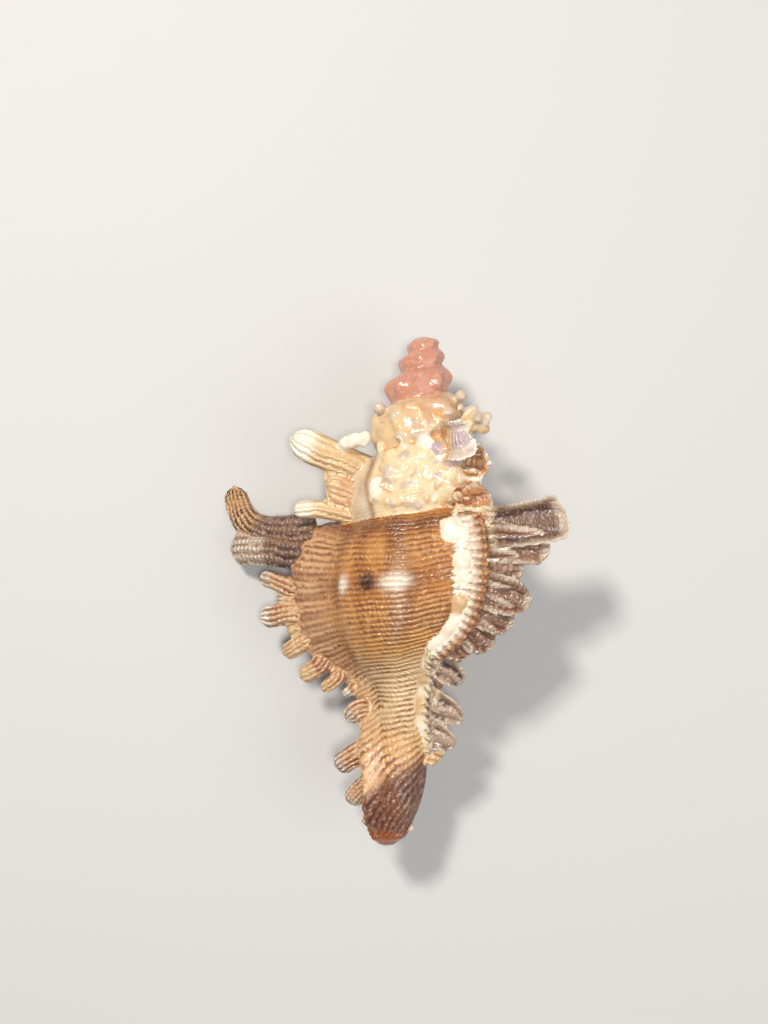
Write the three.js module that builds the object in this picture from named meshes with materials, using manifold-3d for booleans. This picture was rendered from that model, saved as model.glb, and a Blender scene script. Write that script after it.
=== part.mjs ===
// A small murex sea shell lying on its aperture, with its back up. Millimetres, +Z up.
//
// The shell is modelled about its coiling axis, which runs along Y with the apex at +Y. Growth is counted
// in turns from the outer lip, which is turn 0: turn -1 is the same place one whorl earlier. The angle
// round the axis is 0 at +X and 90 degrees at +Z, the middle of the back, and it rises as the shell grows.
// A step is a place along the outline of one whorl: 0 is its suture and 5 is the next whorl's suture, and
// on the last whorl the steps run on over the base and down the siphonal canal.
import * as THREE from "three";
import { mergeVertices } from "three/addons/utils/BufferGeometryUtils.js";
import Module from "manifold-3d";

const wasm = await Module();
wasm.setup();

// Driving dimensions
const APEX = 14.0; // height of the apex along the axis
const CANAL_END = -14.1; // height of the tip of the siphonal canal
const SPIRAL_TOP = 15.0; // the point on the axis that the whorls spiral out of
const LIP_ANGLE = 190; // degrees round the axis
const BACK_TURN = -0.278; // the turn at the middle of the back
const LATE_GROWTH = 0.5; // share of the growth rate that is left between the back and the lip
const WIDER_PER_TURN = 1.4;
const LONGER_PER_TURN = 1.56;
const TURNS = 6;
const AXIS_HEIGHT = 4.6; // of the coiling axis above the surface that the shell lies on
const AXIS_LEAN = -2.5; // degrees that the apex leans towards +X
const MATERIAL = { color: 0xb98d62, roughness: 0.38, metalness: 0 };

// Fineness of the mesh
const ROWS_PER_TURN = 26;
const COLUMNS_PER_STEP = 2; // between two neighbouring steps above the next suture
const FROND_SIDES = 6;
const FROND_RINGS = 5;
const WEB_RINGS = 12;

// The last whorl's outline at the back: radius, height, and how far the point follows the growth of the
// whorl (1) or stays with the canal (0), across and along.
const PROFILE = [
  { r: 2.9, y: 4.3, wide: 1, long: 1 },
  { r: 3.55, y: 3.85, wide: 1, long: 1 },
  { r: 4.15, y: 2.9, wide: 1, long: 1 },
  { r: 4.42, y: 1.2, wide: 1, long: 1 },
  { r: 4.4, y: -0.2, wide: 1, long: 1 },
  { r: 4.06, y: -1.694, wide: 1, long: 1 },
  { r: 3.25, y: -3.1, wide: 1, long: 0.85 },
  { r: 2.2, y: -4.3, wide: 1, long: 0.6 },
  { r: 1.6, y: -5.3, wide: 1, long: 0.3 },
  { r: 1.38, y: -6.6, wide: 0.8, long: 0.1 },
  { r: 1.4, y: -8.2, wide: 0.6, long: 0 },
  { r: 1.5, y: -10.0, wide: 0.5, long: 0 },
  { r: 1.42, y: -11.8, wide: 0.4, long: 0 },
  { r: 1.0, y: -13.5, wide: 0.3, long: 0 },
];
const SUTURE_STEP = 5;

// Thickened former lips, three to a whorl, and the low ribs between them on the last whorl
const LIP = 0;
const BACK_VARIX = -0.364;
const FRONT_VARIX = -0.715;
const VARICES = [LIP, BACK_VARIX, FRONT_VARIX, -1.03, -1.37, -1.7, -2.03, -2.37, -2.7, -3.03, -3.36];
const VARIX = { height: 0.5, halfWidth: 0.032 };
const RIBS = [-0.13, -0.24];
const RIB = { height: 0.32, halfWidth: 0.03 };

// Fronds: the turn and step that each grows from, and the place of its tip from the coiling axis. bend is
// the place that its curve bends towards, and width and depth are its section near the foot.
const LIP_FRONDS = [
  { step: 1.9, tip: [-10.5, 5.25, -4.8], bend: [-9.9, 1.75, -3.0], width: 2.6, depth: 0.7 },
  { step: 2.3, tip: [-10.35, 1.7, -3.4], bend: [-8.0, 1.9, -1.6], width: 1.8, depth: 0.6 },
  { step: 2.8, tip: [-8.6, 0.3, -1.9], bend: [-6.8, 0.5, -0.9], width: 0.95, depth: 0.55 },
  { step: 3.05, tip: [-7.6, -0.8, -1.6], bend: [-6.3, -0.3, -0.9], width: 0.7, depth: 0.5 },
  { step: 3.3, tip: [-8.45, -2.0, -1.7], bend: [-6.4, -1.0, -0.7], width: 1.2, depth: 0.6 },
  { step: 3.8, tip: [-6.9, -2.65, -1.4], bend: [-5.7, -1.9, -0.8], width: 0.7, depth: 0.5 },
  { step: 4.2, tip: [-7.05, -3.9, -1.4], bend: [-5.6, -2.6, -0.6], width: 1.05, depth: 0.55 },
  { step: 4.8, tip: [-6.05, -5.15, -1.3], bend: [-4.9, -3.7, -0.5], width: 1.05, depth: 0.5 },
  { step: 5.4, tip: [-4.85, -5.75, -1.1], bend: [-4.0, -4.6, -0.4], width: 0.8, depth: 0.45 },
  { step: 6.0, tip: [-3.6, -6.0, -0.9], bend: [-3.2, -5.0, -0.3], width: 0.6, depth: 0.4 },
  { step: 8.3, tip: [-3.2, -7.15, 0.0], bend: [-2.6, -6.4, 0.2], width: 1.2, depth: 0.5 },
  { step: 9.7, tip: [-3.8, -9.9, 0.0], bend: [-3.0, -8.8, 0.2], width: 1.4, depth: 0.55 },
  { step: 10.8, tip: [-3.0, -11.8, 0.0], bend: [-2.7, -10.9, 0.2], width: 1.3, depth: 0.5 },
  { step: 11.9, tip: [-1.85, -13.0, 0.0], bend: [-1.8, -12.4, 0.2], width: 0.9, depth: 0.45 },
];
const BACK_FRONDS = [
  { step: 0.8, tip: [3.9, 5.2, 3.2], bend: [3.0, 4.9, 3.6], width: 2.0, depth: 0.5 },
  { step: 1.7, tip: [7.75, 4.55, 3.9], bend: [5.4, 3.6, 3.7], width: 2.6, depth: 0.5 },
  { step: 2.2, tip: [7.0, 2.6, 3.6], bend: [5.0, 2.9, 3.5], width: 2.2, depth: 0.5 },
  { step: 2.8, tip: [5.75, 1.45, 3.3], bend: [4.2, 1.6, 3.8], width: 1.8, depth: 0.45 },
  { step: 3.4, tip: [6.2, -0.15, 3.3], bend: [4.2, 0.1, 3.9], width: 2.1, depth: 0.5 },
  { step: 4.1, tip: [5.35, -1.35, 3.1], bend: [3.9, -1.0, 3.7], width: 1.9, depth: 0.45 },
  { step: 4.8, tip: [4.3, -2.65, 2.9], bend: [3.4, -2.2, 3.4], width: 1.8, depth: 0.45 },
  { step: 5.4, tip: [2.95, -3.35, 2.9], bend: [2.3, -2.9, 3.3], width: 1.4, depth: 0.4 },
  { step: 6.4, tip: [2.85, -4.7, 2.0], bend: [2.0, -4.2, 2.6], width: 1.8, depth: 0.4 },
  { step: 8.2, tip: [2.95, -6.9, 0.9], bend: [1.9, -6.3, 1.4], width: 2.0, depth: 0.45 },
  { step: 9.5, tip: [2.55, -8.35, 0.8], bend: [1.9, -7.9, 1.1], width: 1.8, depth: 0.45 },
  { step: 10.3, tip: [1.9, -9.15, 0.7], bend: [1.5, -8.8, 0.9], width: 1.0, depth: 0.4 },
];
const FRONT_FRONDS = [
  { step: 1.4, tip: [1.9, 3.5, -5.1], bend: [2.0, 3.5, -4.2], width: 1.9, depth: 0.8 },
  { step: 2.8, tip: [0.8, 1.4, -4.5], bend: [1.5, 1.3, -4.3], width: 1.2, depth: 0.6 },
  { step: 4.2, tip: [0.7, -0.9, -4.5], bend: [1.4, -0.8, -4.2], width: 1.3, depth: 0.6 },
  { step: 5.4, tip: [1.0, -3.0, -4.5], bend: [1.5, -2.6, -3.9], width: 1.2, depth: 0.6 },
  { step: 6.6, tip: [2.0, -5.4, -5.0], bend: [1.7, -4.6, -3.6], width: 1.5, depth: 0.75 },
  { step: 8.4, tip: [1.4, -7.6, -2.7], bend: [1.0, -6.9, -2.0], width: 1.0, depth: 0.45 },
  { step: 10.0, tip: [0.8, -9.4, -2.4], bend: [0.5, -8.9, -1.9], width: 0.9, depth: 0.4 },
];
const SPIRE_FRONDS = [
  { turn: -1.03, step: 0.9, tip: [-4.0, 8.2, 0.9], bend: [-3.6, 7.6, 1.0], width: 1.5, depth: 1.1 },
  { turn: -1.03, step: 1.9, tip: [-7.05, 8.1, 0.6], bend: [-5.2, 7.3, 0.7], width: 1.9, depth: 1.1 },
  { turn: -1.03, step: 3.2, tip: [-4.9, 5.6, 0.3], bend: [-4.4, 5.6, 0.3], width: 1.9, depth: 0.8 },
  { turn: -1.03, step: 4.3, tip: [-6.75, 4.1, 0.2], bend: [-5.4, 4.5, 0.4], width: 1.0, depth: 0.7 },
  { turn: -1.37, step: 0.9, tip: [2.0, 8.75, 3.1], bend: [1.6, 8.4, 3.2], width: 1.7, depth: 0.6 },
  { turn: -1.37, step: 2.0, tip: [3.7, 7.35, 2.7], bend: [2.8, 7.2, 3.1], width: 1.8, depth: 0.6 },
  { turn: -1.37, step: 3.3, tip: [3.3, 5.9, 2.8], bend: [2.6, 6.1, 3.3], width: 1.5, depth: 0.6 },
  { turn: -1.7, step: 2.2, tip: [2.0, 7.0, -3.6], bend: [1.9, 7.0, -3.2], width: 1.6, depth: 0.8 },
  { turn: -2.03, step: 1.8, tip: [-2.75, 10.0, 0.5], bend: [-2.4, 9.9, 0.4], width: 0.75, depth: 0.7 },
  { turn: -2.37, step: 2.0, tip: [3.5, 9.5, 1.6], bend: [2.8, 9.6, 1.7], width: 1.2, depth: 1.0 },
];
const FRONDS = [
  ...LIP_FRONDS.map((f) => ({ turn: LIP, ...f })),
  ...BACK_FRONDS.map((f) => ({ turn: BACK_VARIX, ...f })),
  ...FRONT_FRONDS.map((f) => ({ turn: FRONT_VARIX, ...f })),
  ...SPIRE_FRONDS,
];

// Webs that join the feet of the fronds: how far they reach, and at what angle round the axis
const WEBS = [
  { turn: LIP, from: 1.2, to: 7.6, reach: 2.1, thickness: 0.75, angle: 183 },
  { turn: BACK_VARIX, from: 1.0, to: 6.6, reach: 1.4, thickness: 0.5, angle: 0 },
];

// The mouth of the shell: a hollow that follows the whorl back from the lip and narrows
const MOUTH = { r: 2.95, y: -0.6, halfWidth: 1.15, halfHeight: 2.5, turnsBack: 0.32 };
const CANAL_SLOT = { angle: 245, r: 1.5, halfWidth: 0.3, from: -2.6, to: -13.0 };

const rad = THREE.MathUtils.degToRad;
const lerp = THREE.MathUtils.lerp;
const clamp01 = (t) => THREE.MathUtils.clamp(t, 0, 1);
const smooth = (t) => THREE.MathUtils.smoothstep(t, 0, 1);
const hump = (t) => Math.exp(-t * t);

// Lines of growth swing forwards over the base and back again along the canal
const swing = (step) => 0.045 * hump((step - 6.6) / 0.9) - 0.13 * smooth((step - 8.3) / 3);

const angleAt = (turn, step) => rad(LIP_ANGLE) + (turn + swing(step)) * 2 * Math.PI;

// Growth since the back, in turns, slower on the way to the lip
const growth = (turn) => (turn - BACK_TURN) * (turn > BACK_TURN ? LATE_GROWTH : 1);

// The canal swings a little to -X below the body of the shell
const canalBend = (y) => -0.25 * smooth((-3 - y) / 4) - 0.65 * clamp01((-6.5 - y) / 7.6) ** 1.3;

function profilePoint(index, turn) {
  const p = PROFILE[THREE.MathUtils.clamp(index, 0, PROFILE.length - 1)];
  const g = growth(turn);
  return new THREE.Vector2(
    p.r * WIDER_PER_TURN ** (g * p.wide),
    SPIRAL_TOP - (SPIRAL_TOP - p.y) * LONGER_PER_TURN ** (g * p.long),
  );
}

function catmullRom(t, a, b, c, d) {
  return b + 0.5 * t * (c - a + t * (2 * a - 5 * b + 4 * c - d + t * (3 * (b - c) + d - a)));
}

// How much of a varix or rib shows at this step: none at the sutures, and less along the canal
function relief(turn, step) {
  const spire = step < SUTURE_STEP ? Math.sin((Math.PI * step) / SUTURE_STEP) : 0;
  const lastWhorl = smooth(step / 1.5) * (1 - 0.6 * smooth((step - 6) / 3)) * (1 - smooth((step - 11) / 2));
  return lerp(spire, lastWhorl, smooth((turn + 1) / 0.12));
}

// Radius and height of the outside at a turn and a step
function outline(turn, step) {
  const index = Math.floor(step);
  const near = [-1, 0, 1, 2].map((k) => profilePoint(index + k, turn));
  const at = new THREE.Vector2(
    catmullRom(step - index, ...near.map((p) => p.x)),
    catmullRom(step - index, ...near.map((p) => p.y)),
  );
  const size = WIDER_PER_TURN ** growth(turn);
  for (const varix of VARICES)
    at.x += size * VARIX.height * relief(turn, step) * hump((turn - varix) / VARIX.halfWidth);
  for (const rib of RIBS)
    at.x += RIB.height * relief(turn, step) * hump((step - 3) / 1.6) * hump((turn - rib) / RIB.halfWidth);
  return at;
}

// A point at a radius, an angle and a height, with the canal's bend
const place = (r, angle, y) => new THREE.Vector3(r * Math.cos(angle) + canalBend(y), y, r * Math.sin(angle));

function surface(turn, step) {
  const at = outline(turn, step);
  return place(at.x, angleAt(turn, step), Math.min(at.y, APEX - 0.1));
}

// A geometry as a solid. Shared vertices are merged, and an inside-out mesh is turned round.
function solidFromGeometry(geometry) {
  const merged = mergeVertices(geometry, 1e-4);
  const corners = Array.from(merged.index.array);
  const kept = [];
  for (let i = 0; i < corners.length; i += 3) {
    const [a, b, c] = corners.slice(i, i + 3);
    if (a !== b && b !== c && c !== a) kept.push(a, b, c);
  }
  const build = (triangles) =>
    new wasm.Manifold(
      new wasm.Mesh({
        numProp: 3,
        vertProperties: merged.attributes.position.array,
        triVerts: new Uint32Array(triangles),
      }),
    );
  const made = build(kept);
  return made.volume() > 0 ? made : build(kept.reverse());
}

function solidFrom(points, triangles) {
  const geometry = new THREE.BufferGeometry().setFromPoints(points);
  geometry.setIndex(triangles.flat());
  return solidFromGeometry(geometry);
}

// The whorls: one strip that winds from the apex to the lip. Its lower edge is the next whorl's suture,
// and on the last whorl it runs on over the base and down the canal.
function whorls() {
  const stripColumns = SUTURE_STEP * COLUMNS_PER_STEP;
  const baseSteps = PROFILE.length - 1 - SUTURE_STEP;
  const baseColumns = Math.round(baseSteps * 1.5);
  const lastColumn = stripColumns + baseColumns;
  const stepOf = (column) =>
    column <= stripColumns
      ? column / COLUMNS_PER_STEP
      : SUTURE_STEP + ((column - stripColumns) * baseSteps) / baseColumns;
  const rows = TURNS * ROWS_PER_TURN;
  const lastWhorlRow = rows - ROWS_PER_TURN;

  const points = [new THREE.Vector3(0, APEX, 0), place(0, 0, CANAL_END)];
  const [apex, canalEnd] = [0, 1];
  const index = [];
  for (let row = 0; row <= rows; row++) {
    const turn = row / ROWS_PER_TURN - TURNS;
    index.push([]);
    for (let column = 0; column <= (row < lastWhorlRow ? stripColumns - 1 : lastColumn); column++) {
      index[row].push(points.length);
      points.push(surface(turn, stepOf(column)));
    }
  }
  // A row's lower edge is the suture of the row one turn later
  for (let row = 0; row <= lastWhorlRow; row++) index[row][stripColumns] = index[row + ROWS_PER_TURN][0];

  const triangles = [];
  const quad = (a, b, c, d) => triangles.push([a, b, c], [a, c, d]);
  for (let row = 0; row < rows; row++) {
    const [here, next] = [index[row], index[row + 1]];
    const end = row < lastWhorlRow ? stripColumns : lastColumn;
    for (let column = 0; column < end; column++)
      quad(here[column], here[column + 1], next[column + 1], next[column]);
    if (row >= lastWhorlRow) triangles.push([here[lastColumn], canalEnd, next[lastColumn]]);
  }
  // The apex closes the upper edge of the first turn, and the start of the strip
  for (let row = 0; row < ROWS_PER_TURN; row++) triangles.push([apex, index[row][0], index[row + 1][0]]);
  for (let column = 0; column < stripColumns; column++)
    triangles.push([apex, index[0][column + 1], index[0][column]]);

  // The face of the lip: from the last row's edge across to the same whorl's start, one turn earlier
  const outer = index[rows];
  const inner = index[lastWhorlRow];
  const rim = [...outer, canalEnd, ...inner.slice(stripColumns + 1).reverse(), inner[stripColumns]];
  return { points, triangles, rim: [...new Set(rim)] };
}

// The rim is closed with a fan of triangles found on its flat outline of radius and height
function whorlSolid() {
  const { points, triangles, rim } = whorls();
  const flat = rim.map((i) => {
    const p = points[i];
    return new THREE.Vector2(Math.hypot(p.x - canalBend(p.y), p.z), p.y);
  });
  for (const [a, b, c] of THREE.ShapeUtils.triangulateShape(flat, []))
    triangles.push([rim[a], rim[c], rim[b]]);
  return solidFrom(points, triangles);
}

// A closed tube through rings of points, with a point at each end
function tube(rings, start, end) {
  const points = [...rings.flat(), start, end];
  const sides = rings[0].length;
  const at = (ring, side) => ring * sides + (side % sides);
  const triangles = [];
  for (let side = 0; side < sides; side++) {
    for (let ring = 0; ring + 1 < rings.length; ring++) {
      triangles.push([at(ring, side), at(ring, side + 1), at(ring + 1, side + 1)]);
      triangles.push([at(ring, side), at(ring + 1, side + 1), at(ring + 1, side)]);
    }
    triangles.push([points.length - 2, at(0, side + 1), at(0, side)]);
    triangles.push([points.length - 1, at(rings.length - 1, side), at(rings.length - 1, side + 1)]);
  }
  return solidFrom(points, triangles);
}

// An oval ring of points about a centre
function oval(sides, centre, across, along) {
  return Array.from({ length: sides }, (_, k) => {
    const a = (2 * Math.PI * k) / sides;
    return centre.clone().addScaledVector(across, Math.cos(a)).addScaledVector(along, Math.sin(a));
  });
}

// A frond: a flattened finger that bends from the varix to its tip
function frond({ turn, step, tip, bend, width, depth }) {
  const angle = angleAt(turn, step);
  const outwards = new THREE.Vector3(Math.cos(angle), 0, Math.sin(angle));
  const backwards = new THREE.Vector3(Math.sin(angle), 0, -Math.cos(angle));
  const root = surface(turn, step).addScaledVector(outwards, -0.8);
  const head = new THREE.Vector3(...tip);
  const curve = new THREE.QuadraticBezierCurve3(root, new THREE.Vector3(...bend), head);
  const rings = Array.from({ length: FROND_RINGS }, (_, ring) => {
    const t = 0.97 * (ring / (FROND_RINGS - 1));
    const along = curve.getTangent(t);
    const side = new THREE.Vector3().crossVectors(along, backwards).normalize();
    const thick = new THREE.Vector3().crossVectors(side, along).normalize();
    const half = 0.5 * (1.2 - 0.4 * t) * Math.sqrt(1 - 0.8 * t ** 8);
    side.multiplyScalar(width * half);
    thick.multiplyScalar(depth * half);
    return oval(FROND_SIDES, curve.getPoint(t), side, thick);
  });
  return tube(rings, root, head);
}

// A web: a thin sheet along a varix that the fronds stand on
function web({ turn, from, to, reach, thickness, angle }) {
  const out = new THREE.Vector3(Math.cos(rad(angle)), 0, Math.sin(rad(angle)));
  const through = new THREE.Vector3(-out.z, 0, out.x).multiplyScalar(thickness / 2);
  const stations = Array.from({ length: WEB_RINGS }, (_, k) => (k + 0.5) / WEB_RINGS);
  const rings = stations.map((t) => {
    const wide = reach * Math.sqrt(Math.sin(Math.PI * t));
    const centre = surface(turn, lerp(from, to, t)).addScaledVector(out, 0.25 * wide);
    return oval(6, centre, out.clone().multiplyScalar(0.75 * wide), through);
  });
  return tube(rings, surface(turn, from), surface(turn, to));
}

const middleOf = (ring) =>
  ring.reduce((sum, p) => sum.add(p), new THREE.Vector3()).divideScalar(ring.length);

// The hollow behind the lip
function mouth() {
  const stations = Array.from({ length: 9 }, (_, k) => k / 8);
  const rings = stations.map((t) => {
    const turn = lerp(0.04, -MOUTH.turnsBack, t);
    const g = Math.min(turn, 0) * 1.2;
    const narrow = Math.sqrt(1 - 0.9 * t ** 4);
    return Array.from({ length: 14 }, (_, k) => {
      const a = (2 * Math.PI * k) / 14;
      const egg = 1 + 0.28 * Math.sin(a);
      const r = (MOUTH.r + MOUTH.halfWidth * narrow * egg * Math.cos(a)) * WIDER_PER_TURN ** g;
      const y = MOUTH.y + MOUTH.halfHeight * narrow * Math.sin(a);
      return place(r, angleAt(turn, 0), SPIRAL_TOP - (SPIRAL_TOP - y) * LONGER_PER_TURN ** (0.6 * g));
    });
  });
  return tube(rings, middleOf(rings[0]), middleOf(rings[rings.length - 1]));
}

// The open slot down the front of the canal
function canalSlot() {
  const { angle, r, halfWidth, from, to } = CANAL_SLOT;
  const across = new THREE.Vector3(-Math.sin(rad(angle)), 0, Math.cos(rad(angle))).multiplyScalar(halfWidth);
  const inwards = new THREE.Vector3(Math.cos(rad(angle)), 0, Math.sin(rad(angle))).multiplyScalar(0.8);
  const stations = Array.from({ length: 8 }, (_, k) => k / 7);
  const rings = stations.map((t) => oval(6, place(r, rad(angle), lerp(from, to, t)), across, inwards));
  return tube(rings, middleOf(rings[0]), middleOf(rings[rings.length - 1]));
}

// Everything below the surface that the shell lies on
function ground() {
  const box = new THREE.BoxGeometry(60, 60, 10).translate(0, 0, -AXIS_HEIGHT - 5);
  box.deleteAttribute("normal");
  box.deleteAttribute("uv");
  return solidFromGeometry(box);
}

function shellGeometry() {
  let solid = whorlSolid();
  for (const one of WEBS) solid = solid.add(web(one));
  for (const one of FRONDS) solid = solid.add(frond(one));
  solid = solid.subtract(mouth()).subtract(canalSlot()).subtract(ground());
  const mesh = solid.getMesh();
  const geometry = new THREE.BufferGeometry();
  geometry.setAttribute("position", new THREE.BufferAttribute(mesh.vertProperties, 3));
  geometry.setIndex(new THREE.BufferAttribute(mesh.triVerts, 1));
  geometry.rotateZ(rad(AXIS_LEAN));
  geometry.computeBoundingBox();
  const { min, max } = geometry.boundingBox;
  geometry.translate(-(min.x + max.x) / 2, -(min.y + max.y) / 2, AXIS_HEIGHT);
  return geometry;
}

const group = new THREE.Group();
const shell = new THREE.Mesh(shellGeometry(), new THREE.MeshStandardMaterial(MATERIAL));
shell.name = "shell";
group.add(shell);

export default group;
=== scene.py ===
"""A small murex sea shell lying on its aperture, with its back up.

Shapes are worked out in millimetres about the coiling axis, which runs along Y with the apex at +Y, and
are put in the frame, in metres, at the end. Growth is counted in turns from the outer lip, which is turn
0. The angle round the axis is 0 at +X and 90 degrees at +Z, and it rises as the shell grows. A step is a
place along the outline of a whorl: 0 is its suture, 5 the next whorl's suture, and on the last whorl the
steps run on over the base and down the siphonal canal.
"""
import math
import bpy
import numpy as np
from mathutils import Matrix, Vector
from mathutils.bvhtree import BVHTree

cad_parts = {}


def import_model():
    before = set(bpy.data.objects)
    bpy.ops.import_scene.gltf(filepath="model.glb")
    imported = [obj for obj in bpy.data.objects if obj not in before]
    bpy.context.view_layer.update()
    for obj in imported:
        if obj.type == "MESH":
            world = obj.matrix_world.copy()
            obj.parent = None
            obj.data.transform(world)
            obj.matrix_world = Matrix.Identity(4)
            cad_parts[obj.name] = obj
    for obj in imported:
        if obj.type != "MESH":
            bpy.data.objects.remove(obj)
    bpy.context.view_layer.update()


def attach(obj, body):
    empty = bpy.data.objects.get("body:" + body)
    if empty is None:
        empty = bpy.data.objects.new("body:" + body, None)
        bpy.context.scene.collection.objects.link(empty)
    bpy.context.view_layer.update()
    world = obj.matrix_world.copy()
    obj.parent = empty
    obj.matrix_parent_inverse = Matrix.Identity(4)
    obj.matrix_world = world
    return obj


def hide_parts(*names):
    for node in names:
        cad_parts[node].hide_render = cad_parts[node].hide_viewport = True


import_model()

# ---------------------------------------------------------------- the shell's dimensions, in millimetres
APEX = 14.0
CANAL_END = -14.1
SPIRAL_TOP = 15.0
LIP_ANGLE = 190
BACK_TURN = -0.278
LATE_GROWTH = 0.5
WIDER_PER_TURN = 1.4
LONGER_PER_TURN = 1.56
TURNS = 6
AXIS_HEIGHT = 4.6
AXIS_LEAN = -2.5

PROFILE_R = np.array([2.9, 3.55, 4.15, 4.42, 4.4, 4.06, 3.25, 2.2, 1.6, 1.38, 1.4, 1.5, 1.42, 1.0])
PROFILE_Y = np.array([4.3, 3.85, 2.9, 1.2, -0.2, -1.694, -3.1, -4.3, -5.3, -6.6, -8.2, -10.0, -11.8, -13.5])
PROFILE_WIDE = np.array([1, 1, 1, 1, 1, 1, 1, 1, 1, 0.8, 0.6, 0.5, 0.4, 0.3])
PROFILE_LONG = np.array([1, 1, 1, 1, 1, 1, 0.85, 0.6, 0.3, 0.1, 0, 0, 0, 0])
LAST_STEP = 13
STEPS = np.arange(LAST_STEP + 1)
SUTURE_STEP = 5

LIP, BACK_VARIX, FRONT_VARIX = 0, -0.364, -0.715
VARICES = [LIP, BACK_VARIX, FRONT_VARIX, -1.03, -1.37, -1.7, -2.03, -2.37, -2.7, -3.03, -3.36]
VARIX_HEIGHT = 0.5
VARIX_HALF_WIDTH = 0.032
RIBS = [-0.13, -0.24]
RIB_HEIGHT = 0.32
RIB_HALF_WIDTH = 0.03
FLARE_START = -0.085  # the outer lip flares out from this turn on
FLARE_REACH = np.array([0, 0.5, 1.6, 1.9, 1.7, 1.3, 0.95, 0.7, 0.7, 0.8, 0.8, 0.6, 0.4, 0.1])
FLARE_TILT = np.radians([50, 46, 16, 0, -14, -26, -35, -42, -44, -46, -50, -54, -58, -60])
KNOBS_PER_TURN = 8
KNOB_HEIGHT = 0.5
THREAD = 0.3  # between two spiral threads of the last whorl
BEAD = 0.29  # between two beads along a ridge
WEB_RIB = 0.47  # between two ribs of a web
ROOT_DEPTH = 0.8  # how deep a frond is rooted under the surface
GRAIN = 0.115  # the finest detail that the mesh holds
SEAM_JUMP = 0.7  # a jump in line number between neighbours that shows where two surfaces meet

AXIS_PLACE = (1.3995, 0.0303)  # of the coiling axis' zero, in the frame
MM_PER_M = 1000
CIRCLE = 6.28  # radians round a circle, near enough for waves and for lengths round a whorl

# the mouth, cut backwards from just in front of the lip
MOUTH_START = 0.075
MOUTH_TURNS = 0.395
MOUTH_RADIUS, MOUTH_HALF_WIDTH = 2.95, 1.15
MOUTH_MIDDLE, MOUTH_HALF_HEIGHT = -0.6, 2.5
# the open slot down the canal
SLOT_ANGLE = 245
SLOT_TOP, SLOT_LENGTH = -2.6, 10.4
SLOT_RADIUS, SLOT_DEPTH, SLOT_HALF_WIDTH = 1.5, 0.8, 0.3


# ---------------------------------------------------------------- small helpers
def smooth(t):
    t = np.clip(t, 0, 1)
    return t * t * (3 - 2 * t)


def hump(t):
    return np.exp(-np.square(t))


def blend(a, b, t):
    """From a to b as t goes from 0 to 1, for numbers or colours."""
    a, b, t = np.asarray(a, float), np.asarray(b, float), np.asarray(t, float)
    if a.shape[-1:] == (3,) or b.shape[-1:] == (3,):
        t = t[..., None]
    return a + (b - a) * t


def unit(v):
    return v / np.maximum(np.linalg.norm(v, axis=-1, keepdims=True), 1e-9)


def waves(points, seed, size, count=24):
    """A smooth wander between about -1 and 1 over space, made of a few sine waves."""
    rng = np.random.default_rng(seed)
    total = np.zeros(len(points))
    for direction, phase in zip(rng.normal(size=(count, 3)), rng.uniform(0, CIRCLE, count)):
        total += np.sin(points @ unit(direction) * (CIRCLE / size) * rng.uniform(0.6, 1.6) + phase)
    return total / math.sqrt(count)


# ---------------------------------------------------------------- how the shell grows
def growth(turn):
    g = turn - BACK_TURN
    return np.where(g > 0, g * LATE_GROWTH, g)


def swing(step):
    """Lines of growth swing forwards over the base and back again along the canal."""
    return 0.045 * hump((step - 6.6) / 0.9) - 0.13 * smooth((step - 8.3) / 3)


def angle_at(turn, step):
    return np.radians(LIP_ANGLE) + (turn + swing(step)) * 2 * np.pi


def canal_bend(y):
    return -0.25 * smooth((-3 - y) / 4) - 0.65 * np.clip((-6.5 - y) / 7.6, 0, 1) ** 1.3


def relief(turn, step):
    spire = np.where(step < SUTURE_STEP, np.sin(np.pi * np.clip(step / SUTURE_STEP, 0, 1)), 0)
    last = smooth(step / 1.5) * (1 - 0.6 * smooth((step - 6) / 3)) * (1 - smooth((step - 11) / 2))
    return blend(spire, last, smooth((turn + 1) / 0.12))


def outline(turn, step):
    """Radius and height of the outside at a turn and a step."""
    turn, step = np.broadcast_arrays(np.asarray(turn, float), np.asarray(step, float))
    index = np.floor(step).astype(int)
    g = growth(turn)
    near = []
    for k in (-1, 0, 1, 2):
        p = np.clip(index + k, 0, LAST_STEP)
        near.append(np.stack([
            PROFILE_R[p] * WIDER_PER_TURN ** (g * PROFILE_WIDE[p]),
            SPIRAL_TOP - (SPIRAL_TOP - PROFILE_Y[p]) * LONGER_PER_TURN ** (g * PROFILE_LONG[p]),
        ]))
    a, b, c, d = near
    t = step - index
    r, y = b + 0.5 * t * (c - a + t * (2 * a - 5 * b + 4 * c - d + t * (3 * (b - c) + d - a)))
    for varix in VARICES:
        ridge = hump((turn - varix) / VARIX_HALF_WIDTH)
        r = r + WIDER_PER_TURN ** g * VARIX_HEIGHT * relief(turn, step) * ridge
    for rib in RIBS:
        crest = hump((step - 3) / 1.6) * hump((turn - rib) / RIB_HALF_WIDTH)
        r = r + RIB_HEIGHT * relief(turn, step) * crest
    t = np.clip(1 - turn / FLARE_START, 0, 1) ** 1.8
    flare = t * np.interp(step, STEPS, FLARE_REACH)
    r = r + flare
    y = y + flare * np.tan(np.interp(step, STEPS, FLARE_TILT))
    knob = (0.5 + 0.5 * np.cos(2 * np.pi * KNOBS_PER_TURN * turn)) ** 2 * hump((step - 2.6) / 1.3)
    r = r + KNOB_HEIGHT * WIDER_PER_TURN ** g * knob * (1 - smooth((turn + 2.5) / 0.3))
    return r, y


def place(r, angle, y):
    return np.stack([r * np.cos(angle) + canal_bend(y), y + 0 * r, r * np.sin(angle)], axis=-1)


def surface(turn, step):
    r, y = outline(turn, step)
    return place(r, angle_at(turn, step), np.minimum(y, APEX - 0.1))


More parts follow.
